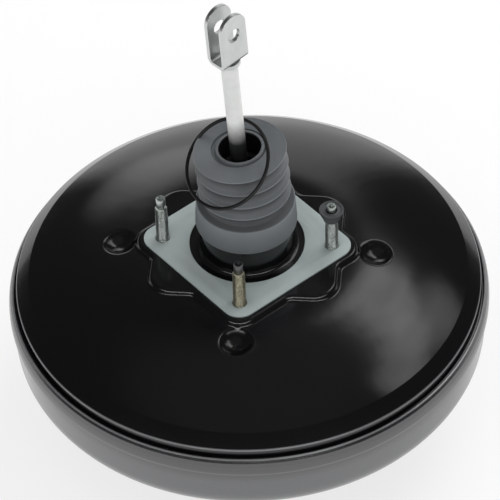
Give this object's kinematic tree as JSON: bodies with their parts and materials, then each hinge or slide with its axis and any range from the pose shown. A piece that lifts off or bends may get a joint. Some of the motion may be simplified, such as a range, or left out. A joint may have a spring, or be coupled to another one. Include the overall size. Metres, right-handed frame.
{
  "type": "brake booster",
  "caption": "Single-chamber vacuum brake booster with crimped round shells, square bulkhead pad, dust boot and clevis input rod.",
  "frame": {"origin": "middle of the bulkhead mounting plane, on the top of the gasket, on the booster's axis", "axes": "+Z along the booster's axis towards the brake pedal; X and Y along the sides of the square stud pattern"},
  "size_m": [0.3, 0.3, 0.3288],
  "materials": {
    "black_paint": "deep gloss black stoved paint",
    "satin_black": "satin black coating",
    "gasket": "matte grey-green gasket sheet",
    "zinc": "bright zinc plating",
    "stud_steel": "zinc plated, rolled thread",
    "steel": "bare pressed steel",
    "spring_steel": "drawn spring wire",
    "boot_rubber": "matte dark grey rubber",
    "black_rubber": "smooth black rubber",
    "diaphragm_rubber": "cloth-backed rubber",
    "moulding": "glass-filled black moulding",
    "natural_plastic": "natural nylon",
    "cap_plastic": "dark grey soft plastic",
    "foam": "open foam",
    "felt": "felt"
  },
  "bodies": {
    "shell": {"front_shell": "satin_black", "rear_shell": "black_paint", "rear_reinforcement_plate": "steel", "front_reinforcement_plate": "steel", "bulkhead_studs": "stud_steel", "master_cylinder_studs": "stud_steel", "mounting_gasket": "gasket", "seal_retainer": "natural_plastic", "guide_bush": "natural_plastic", "neck_seal": "black_rubber", "diaphragm": "diaphragm_rubber", "return_spring": "spring_steel", "dust_boot": "boot_rubber", "check_valve_grommet": "black_rubber", "check_valve_body": "moulding", "check_valve_spring": "spring_steel"},
    "piston": {"valve_body": "moulding", "stop_key": "steel", "reaction_disc": "black_rubber", "output_rod": "zinc", "output_rod_retainer": "steel", "diaphragm_plate": "steel", "poppet_valve": "black_rubber", "poppet_retainer": "steel", "poppet_spring": "spring_steel", "rod_return_spring": "spring_steel", "air_filter": "foam", "silencer": "felt"},
    "plunger": {"valve_plunger": "zinc", "spring_cup": "steel"},
    "rod": {"input_rod": "zinc", "clevis": "zinc", "clevis_collar": "zinc"},
    "check_poppet": {"check_valve_poppet": "black_rubber"},
    "cap": {"stud_cap": "cap_plastic"},
    "ring": {"seal_ring": "black_rubber"}
  },
  "joints": [
    {"name": "piston_stroke", "type": "slide", "parent": "shell", "child": "piston", "axis": [0, 0, -1], "range_m": [0, 0.032], "stiffness_N_per_m": 3500, "springref_m": -0.04, "deforming": ["return_spring", "dust_boot", "diaphragm"]},
    {"name": "valve_stroke", "type": "slide", "parent": "piston", "child": "plunger", "axis": [0, 0, -1], "range_m": [0, 0.0025], "stiffness_N_per_m": 6000, "springref_m": -0.004, "deforming": ["rod_return_spring", "poppet_spring"]},
    {"name": "rod_swivel", "type": "hinge", "parent": "plunger", "child": "rod", "pos_m": [0, 0, 0.012], "axis": [-0.0691, 0.9971, -0.033], "range_deg": [-3, 3]},
    {"name": "check_valve_lift", "type": "slide", "parent": "shell", "child": "check_poppet", "axis": [0, 0, -1], "range_m": [0, 0.002], "stiffness_N_per_m": 120, "springref_m": -0.003, "deforming": ["check_valve_spring"]},
    {"name": "stud_cap_pull", "type": "slide", "parent": "shell", "child": "cap", "axis": [0, 0, 1], "range_m": [0, 0.02]},
    {"name": "seal_ring_lift", "type": "slide", "parent": "piston", "child": "ring", "axis": [0, 0, 1], "range_m": [0, 0.03]}
  ]
}
